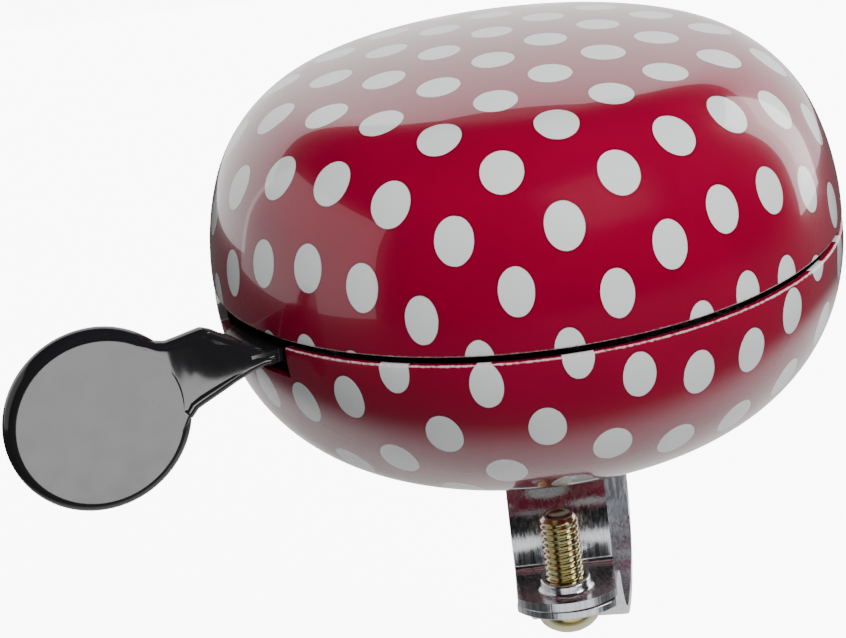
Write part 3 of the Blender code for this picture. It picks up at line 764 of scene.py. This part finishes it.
def build_ramp():
    """The sloped shoulder from the flat arm up to the web's peak."""
    low = SPLIT_Z + ARM_TOP - ARM_T + 0.1
    high = SPLIT_Z + ARM_TOP - 0.1
    edge = [(-41.3, -5.4), (-42.6, 3.2), (-41.4, 4.4)]
    points = [(x, y, z) for x, y in edge for z in (low, high)]
    for along, height, back in ((7.4, 2.85, 1.0), (7.4, 2.85, 2.9), (8.2, -3.2, 0.5), (8.2, -3.2, 2.3)):
        points.append(web_point(along, height, back))
    return soften(hull("ramp", points), 0.8, 5, 20)


def inner_lever():
    """The hub, toothed sector and arm, which keep the frame's own shape inside the bell."""
    mesh = frame["nodes"]["thumb_lever"].data.copy()
    mesh.transform(Matrix.Rotation(math.radians(-MECHANISM_TURN), 4, "Z"))
    bm = bmesh.new()
    bm.from_mesh(mesh)
    bmesh.ops.remove_doubles(bm, verts=bm.verts, dist=1e-7)
    parts = bm.verts[:] + bm.edges[:] + bm.faces[:]
    cut = bmesh.ops.bisect_plane(
        bm, geom=parts, plane_co=(INNER_END * MM, 0, 0), plane_no=(-1, 0, 0), clear_outer=True,
    )
    edges = [e for e in cut["geom_cut"] if isinstance(e, bmesh.types.BMEdge)]
    bmesh.ops.contextual_create(bm, geom=edges)
    bm.to_mesh(mesh)
    bm.free()
    return add("inner", mesh)


def build_arm():
    """The inner part with the flat arm that runs from it out through the notch."""
    outline = [
        (-36.0, 5.4), (-38.3, 6.15), (-40.6, 5.25), (-42.3, 3.4), (-43.2, -5.2), (-40.7, -5.7), (-36.0, -5.5),
    ]
    arm = plate("arm", outline, SPLIT_Z + ARM_TOP - ARM_T, SPLIT_Z + ARM_TOP)
    return soften(boolean(arm, inner_lever(), "UNION"), 0.15, 3, 35)


def build_lever():
    shapes = [bake(build_arm()), bake(build_ramp()), build_web(), build_rib(), build_pad()]
    for shape in shapes:
        smooth(shape, 40)
    lever = merge(*shapes)
    lever.name = "thumb_lever_moulding"
    even = lever.modifiers.new("even_normals", "WEIGHTED_NORMAL")
    even.keep_sharp = True
    lever.data.transform(Matrix.Rotation(math.radians(MECHANISM_TURN), 4, "Z"))
    stand_in(lever, "black_plastic", "lever", "thumb_lever")


# ---------------------------------------------------------------- clamp

def rounded_path(corners):
    """Points along a (y, z, radius) path with its corners turned into arcs."""
    nodes = [Vector((y, z)) for y, z, _ in corners]
    path = [nodes[0]]
    for before, here, after, radius in zip(nodes, nodes[1:], nodes[2:], [c[2] for c in corners[1:]]):
        if not radius:
            path.append(here)
            continue
        into = (here - before).normalized()
        out = (after - here).normalized()
        bend = math.acos(max(-1.0, min(1.0, into.dot(out))))
        reach = radius * math.tan(bend / 2)
        side = Vector((-into.y, into.x)) * (1 if into.x * out.y - into.y * out.x > 0 else -1)
        centre = here - into * reach + side * radius
        sweep = bend if side.dot(Vector((-into.y, into.x))) > 0 else -bend
        start = here - into * reach - centre
        for i in range(BEND_STEPS + 1):
            a = sweep * i / BEND_STEPS
            c, s = math.cos(a), math.sin(a)
            path.append(centre + Vector((c * start.x - s * start.y, s * start.x + c * start.y)))
    path.append(nodes[-1])
    return path


def band(name, path, thickness, width):
    """A strip of even thickness whose middle line runs in the upright plane across the bar."""
    sections = []
    for i, here in enumerate(path):
        before = path[max(i - 1, 0)]
        after = path[min(i + 1, len(path) - 1)]
        into = (here - before).normalized() if i else (after - here).normalized()
        out = (after - here).normalized() if i < len(path) - 1 else into
        normal = Vector((-(into.y + out.y), into.x + out.x)).normalized()
        reach = thickness / 2 / max(0.3, normal.dot(Vector((-into.y, into.x))))
        left = here + normal * reach
        right = here - normal * reach
        sections.append([
            (-width / 2, left.x, left.y), (width / 2, left.x, left.y),
            (width / 2, right.x, right.y), (-width / 2, right.x, right.y),
        ])
    return loft(name, sections)


def flange_tip(z0, z1):
    """What is left outside a flange's bowed front edge."""
    half = BAND_W / 2
    bow = FLANGE_CORNER_Y - FLANGE_FRONT_Y
    radius = (half * half + bow * bow) / 2 / bow
    centre_y = FLANGE_FRONT_Y + radius
    lean = math.degrees(math.asin(half / radius))
    outline = [(-half - 1, FLANGE_CORNER_Y), (-half - 1, FLANGE_FRONT_Y - 2)]
    outline += [(half + 1, FLANGE_FRONT_Y - 2), (half + 1, FLANGE_CORNER_Y)]
    outline += arc(radius, 270 + lean, 270 - lean, 28, 0, centre_y)
    return plate("tip", outline, z0, z1)


def build_collar():
    """The hole's drawn collar with its flared foot and the rough edge left by the thread tap."""
    top = FLANGE_TOP + COLLAR_H
    bore = BOLT_R + 0.06
    outline = [(COLLAR_R + 0.65, FLANGE_TOP - 0.25), (COLLAR_R + 0.65, FLANGE_TOP + 0.01)]
    outline += [(COLLAR_R + 0.65 - x, FLANGE_TOP + 0.66 - y) for x, y in arc(0.65, 90, 0, 8)[1:]]
    outline += [(COLLAR_R - 0.3 + x, top - 0.3 + y) for x, y in arc(0.3, 0, 90, 6)]
    outline += [(bore + 0.25, top), (bore, top - 0.2), (bore, FLANGE_TOP - 0.25)]
    count = len(outline)
    return lathe(
        "collar", outline, 144, 0, BOLT_Y,
        lambda k, a: 0.09 * math.cos(math.radians(a * 30)) if count - 4 <= k <= count - 3 else 0.0,
    )


def build_bracket():
    mid = FLANGE_TOP - BAND_T / 2
    corners = [
        (LEG_Y, HOOK_Z - 3.0, 0), (LEG_Y, BAND_T / 2, REAR_BEND), (-LEG_Y, BAND_T / 2, FRONT_BEND),
        (-LEG_Y, mid, FLANGE_BEND), (FLANGE_FRONT_Y, mid, 0),
    ]
    bracket = band("clamp_bracket_strip", rounded_path(corners), BAND_T, BAND_W)
    wing = block(
        "wing", (-REAR_W / 2, LEG_Y - BAND_T / 2, HOOK_Z - 3.0), (REAR_W / 2, LEG_Y + BAND_T / 2, -1.9),
    )
    boolean(bracket, wing, "UNION")
    boolean(bracket, flange_tip(mid - 3, mid + 3), "DIFFERENCE")
    boolean(bracket, rod("thread_hole", BOLT_R + 0.06, mid - 5, mid + 4, 0, BOLT_Y), "DIFFERENCE")
    boolean(bracket, rod("stud_hole", STUD_HOLE, -2, 4), "DIFFERENCE")
    window = block("window", (-4.5, LEG_Y - 3, HOOK_Z - 1.35), (8.5, LEG_Y + 3, HOOK_Z + 1.35))
    boolean(bracket, window, "DIFFERENCE")
    bake(soften(bracket, SOFT_EDGE, 3, 38))
    collar = build_collar()
    smooth(collar, 60)
    merge(bracket, collar)
    stand_in(bracket, "chrome", "bell_body", "clamp_bracket")


def build_strap():
    mid = FLANGE_TOP - BAND_T * 1.5 - FLANGE_GAP
    radius = BAR_R + 0.05 + BAND_T / 2
    rear_y = LEG_Y + BAND_T + 0.9
    shift = rear_y - radius
    start = math.degrees(math.asin((mid + BAR_R) / radius))
    sweep = arc(radius, 180 - start + 8, 270, 30, 0, -BAR_R)
    sweep += arc(radius, 270, 360, 30, shift, -BAR_R)
    bend = [(FLANGE_FRONT_Y, mid, 0), (-radius - 0.3, mid, 1.0), (*sweep[1], 0)]
    hook = [(*sweep[-1], 0), (rear_y, HOOK_Z, 1.2), (BAR_R - 0.1, HOOK_Z, 0)]
    path = rounded_path(bend)[:-1] + [Vector(point) for point in sweep[1:]] + rounded_path(hook)[1:]
    strap = band("clamp_strap_strip", path, BAND_T, BAND_W)
    side = TONGUE_W / 2
    neck = HOOK_Z - 3.2
    boolean(strap, flange_tip(mid - 3, mid + 3), "DIFFERENCE")
    for name, low, high in (("left", -BAND_W, -side), ("right", side, BAND_W)):
        cutter = block(name, (low, BAR_R - 3, neck), (high, rear_y + 3, HOOK_Z + 3))
        boolean(strap, cutter, "DIFFERENCE")
    reach = BOLT_R + 0.3
    slot = arc(reach, 0, 180, 20, 0, BOLT_Y) + arc(reach, 180, 360, 20, 0, BOLT_Y - SLOT_LONG)
    boolean(strap, plate("slot", slot, mid - 3, mid + 3), "DIFFERENCE")
    bake(soften(strap, SOFT_EDGE, 3, 38))
    skew = math.radians(STRAP_SKEW)
    about = Matrix.Translation((0, BOLT_Y * MM, 0))
    strap.data.transform(about @ Matrix.Rotation(skew, 4, "Z") @ about.inverted())
    stand_in(strap, "chrome", "strap", "clamp_strap")


def thread_radius(angle, z, top, foot):
    """Radius of a 60 degree thread, run out at the foot and chamfered at the top."""
    turn = (z / THREAD_PITCH - angle / 360) % 1.0
    depth = THREAD_DEPTH * min(1.0, max(0.0, abs(turn - 0.5) * 2.5 - 0.12))
    depth *= ease(z, foot, foot + 1.0)
    chamfer = max(0.0, 0.55 - (top - z) * 0.8)
    return BOLT_R - max(depth, chamfer)


def build_bolt():
    seat = FLANGE_TOP - BAND_T * 2 - FLANGE_GAP - 0.05
    base = seat - BOLT_HEAD_H
    columns = 72
    rows = 190
    shank = []
    for i in range(rows + 1):
        z = seat - 0.3 + (BOLT_TOP - seat + 0.3) * i / rows
        shank.append([
            (*polar(thread_radius(360 * k / columns, z, BOLT_TOP, seat), 360 * k / columns, 0, BOLT_Y), z)
            for k in range(columns)
        ])
    for r, drop in ((1.55, 0.02), (1.35, 0.12), (0.8, 0.3), (0.05, 0.36)):
        shank.append([(*polar(r, 360 * k / columns, 0, BOLT_Y), BOLT_TOP - drop) for k in range(columns)])
    bolt = smooth(loft("clamp_bolt_threaded", shank), 60)
    edge = BOLT_HEAD_R
    outline = [(0, seat), (edge - 0.25, seat), (edge, seat - 0.25), (edge, seat - 1.15)]
    outline += [(edge - 0.3, seat - 1.85), (edge - 0.75, seat - 2.35), (edge - 1.4, base + 0.28),
                (edge - 2.2, base + 0.06), (0, base)]
    head = lathe("head", outline, 96, 0, BOLT_Y)
    for reach_x, reach_y in ((CROSS_LONG, CROSS_SHORT), (CROSS_SHORT, CROSS_LONG)):
        low = (-reach_x, BOLT_Y - reach_y, base - 1)
        high = (reach_x, BOLT_Y + reach_y, base + CROSS_DEEP)
        boolean(head, block("cross", low, high), "DIFFERENCE")
    bake(soften(head, 0.10, 2, 30))
    merge(bolt, head)
    stand_in(bolt, "gold_zinc", "bolt", "clamp_bolt")


# ---------------------------------------------------------------- return spring

def build_spring():
    """A torsion coil whose lower leg reaches to the lever and whose upper leg stays on the plate."""
    rise = SPRING_PITCH * SPRING_TURNS
    steps = 132
    coil = []
    for i in range(steps + 1):
        place = polar(SPRING_R, 90 - 360 * SPRING_TURNS * i / steps, PIVOT_X)
        coil.append((*place, SPRING_LOW + rise * i / steps))
    leg_in = [(-32.0 + 0.4 * i, 3.3 + 0.01 * i, SPRING_LOW) for i in range(18)]
    leg_out = [(PIVOT_X - SPRING_R, 9.6 * i / 14, coil[-1][2]) for i in range(1, 15)]
    spring = tube("return_spring_coil", leg_in + coil + leg_out, WIRE_R, 12)
    smooth(spring, 60)
    spring.data.transform(Matrix.Rotation(math.radians(MECHANISM_TURN), 4, "Z"))
    dress(spring, "spring_steel")
    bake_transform(spring)
    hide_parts("return_spring")


# ---------------------------------------------------------------- the frame's own small parts

def dress_frame():
    """The small parts keep the frame's shapes; they get soft edges and their finish."""
    slots = {row["node"]: row["material_slot"] for row in frame["record"]["subparts"]}
    for name, node in frame["nodes"].items():
        if node.hide_render:
            continue
        dress(node, slots[name])
        soften(node, 0.10, 2, 32)


# ---------------------------------------------------------------- stage, light and camera

def emitter(name, location, target, width, height, power):
    """A white area light that the camera can't see: metres for place, aim and size, watts for power."""
    light = bpy.data.lights.new(name, "AREA")
    light.shape = "RECTANGLE"
    light.size = width
    light.size_y = height
    light.energy = power
    obj = add(name, light)
    obj.location = location
    obj.rotation_euler = (Vector(target) - Vector(location)).to_track_quat("-Z", "Y").to_euler()
    obj.visible_camera = False
    return obj


def card(name, location, target, width, height, power, receivers):
    """A small light that falls on the named pieces only."""
    light = emitter(name, location, target, width, height, power)
    only = bpy.data.collections.new("lit_by_" + name)
    for receiver in receivers:
        only.objects.link(bpy.data.objects[receiver])
    light.light_linking.receiver_collection = only


def build_stage():
    """A pale floor well below the bell, which shows near white to the camera."""
    n = Nodes("pale_floor")
    seen = n.new("ShaderNodeLightPath").outputs["Is Camera Ray"]
    away = n.vector("LENGTH", n.vector("SUBTRACT", n.place(), (0, 100, FLOOR_Z)))
    pale = n.mix(n.noise(0.002, 2.0), (0.86, 0.86, 0.86), (0.84, 0.84, 0.84))
    # Painted shade: for all but camera rays the floor's colour turns from pale to near black 150 to 220 mm out
    # from a point behind the bell, standing in for the unlit studio beyond
    tone = n.mix(n.math("MAXIMUM", seen, n.step(away, 150, 220, 1.0, 0.0)), (0.05, 0.05, 0.05), pale)
    n.set(
        Base_Color=tone, Roughness=0.8, Emission_Color=(1, 1, 1),
        Emission_Strength=n.math("MULTIPLY", seen, WHITE_GLOW),
    )
    signs = ((-1, -1), (1, -1), (1, 1), (-1, 1))
    corners = [(x * FLOOR_REACH, y * FLOOR_REACH, FLOOR_Z) for x, y in signs]
    floor = mesh_from("floor", corners, [(0, 1, 2, 3)])
    floor.data.materials.append(n.material)


def build_world():
    """White to the camera, so that the floor has no horizon, and nearly dark to everything else."""
    world = bpy.data.worlds.new("studio")
    bpy.context.scene.world = world
    world.use_nodes = True
    background = world.node_tree.nodes["Background"]
    background.inputs["Color"].default_value = (1, 1, 1, 1)
    seen = world.node_tree.nodes.new("ShaderNodeLightPath").outputs["Is Camera Ray"]
    strength = world.node_tree.nodes.new("ShaderNodeMapRange")
    strength.inputs["To Min"].default_value = WORLD_DIM
    strength.inputs["To Max"].default_value = WHITE_GLOW
    world.node_tree.links.new(seen, strength.inputs["Value"])
    world.node_tree.links.new(strength.outputs["Result"], background.inputs["Strength"])


def build_lights():
    """Walls behind and on the left, a key that leaves no reflection, and cards for the lever and clamp."""
    centre = (0, 0, 0.03)
    emitter("back_wall", (0.0, 0.65, 0.25), (0, 0, 0.25), 2.4, 0.70, 7.4)
    emitter("left_wall", (-0.70, -0.05, 0.14), (0, -0.05, 0.14), 0.9, 0.8, 1.9)
    emitter("right_strip", (0.60, 0.35, 0.20), centre, 0.25, 0.6, 1.6)
    key = emitter("key", (0.40, -0.60, 0.65), centre, 0.6, 0.6, 14.0)
    key.visible_glossy = False
    lever = ["thumb_lever_moulding"]
    card("lever_card", (0.0665, -0.235, -0.068), (-0.051, -0.035, 0.025), 0.09, 0.09, 0.165, lever)
    clamp = ["clamp_bracket_strip", "clamp_strap_strip", "clamp_bolt_threaded"]
    card("clamp_card", (0.02, -0.125, -0.045), (0, -0.015, -0.008), 0.16, 0.085, 0.050, clamp)
    card("clamp_side_card", (0.22, -0.16, 0.02), (0, -0.015, -0.008), 0.10, 0.10, 0.30, clamp)


def build_camera():
    """At azimuth 0, 19 degrees above the split, rolled so that the bell leans to the left."""
    data = bpy.data.cameras.new("camera")
    camera = add("camera", data)
    pivot = Vector((0, 0, SPLIT_Z * MM))
    up = math.radians(CAMERA_UP)
    camera.location = pivot + Vector((0, -CAMERA_AWAY * math.cos(up), CAMERA_AWAY * math.sin(up)))
    aim = pivot + Vector(CAMERA_AIM)
    look = (aim - camera.location).to_track_quat("-Z", "Y").to_matrix().to_4x4()
    roll = Matrix.Rotation(math.radians(CAMERA_ROLL), 4, "Z")
    camera.rotation_euler = (look @ roll).to_euler()
    data.lens = CAMERA_LENS
    data.sensor_width = 36.0
    data.shift_x, data.shift_y = CAMERA_SHIFT
    bpy.context.scene.camera = camera


build_domes()
build_lever()
build_bracket()
build_strap()
build_bolt()
build_spring()
dress_frame()
build_stage()
build_world()
build_lights()
build_camera()
